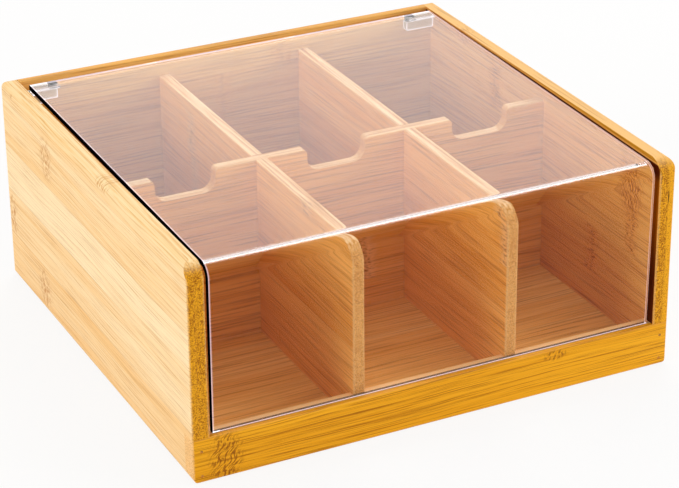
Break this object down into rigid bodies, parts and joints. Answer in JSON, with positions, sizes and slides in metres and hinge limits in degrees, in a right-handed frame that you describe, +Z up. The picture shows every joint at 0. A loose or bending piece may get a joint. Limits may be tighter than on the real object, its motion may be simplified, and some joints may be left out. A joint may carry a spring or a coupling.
{
  "type": "tea bag organizer box",
  "caption": "Low bamboo organizer box with divided compartments, finger notches and a bent clear lid hinged along the back.",
  "frame": {"origin": "on the floor under the middle of the box", "axes": "+X to the right along the width, +Y to the back, +Z up"},
  "size_m": [0.28, 0.266, 0.1224],
  "materials": {
    "bamboo_side": "satin clear lacquer",
    "bamboo_back": "satin clear lacquer",
    "bamboo_rail": "satin clear lacquer",
    "bamboo_floor": "satin clear lacquer",
    "bamboo_divider": "satin clear lacquer",
    "clear_lid": "polished clear acrylic",
    "clear_hinge": "polished clear acrylic",
    "hinge_pin": "darkened steel",
    "brad": "darkened steel"
  },
  "bodies": {
    "box": {"left_side_panel": "bamboo_side", "right_side_panel": "bamboo_side", "back_panel": "bamboo_back", "front_rail": "bamboo_rail", "floor_panel": "bamboo_floor", "left_divider": "bamboo_divider", "right_divider": "bamboo_divider", "cross_divider": "bamboo_divider", "left_hinge_wall_leaf": "clear_hinge", "right_hinge_wall_leaf": "clear_hinge", "left_hinge_pin": "hinge_pin", "right_hinge_pin": "hinge_pin", "left_rail_brads": "brad", "right_rail_brads": "brad"},
    "lid": {"lid": "clear_lid", "left_hinge_lid_leaf": "clear_hinge", "right_hinge_lid_leaf": "clear_hinge"}
  },
  "joints": [
    {"name": "lid_hinge", "type": "hinge", "parent": "box", "child": "lid", "pos_m": [0, 0.1186, 0.1177], "axis": [-1, 0, 0], "range_deg": [0, 100]}
  ]
}
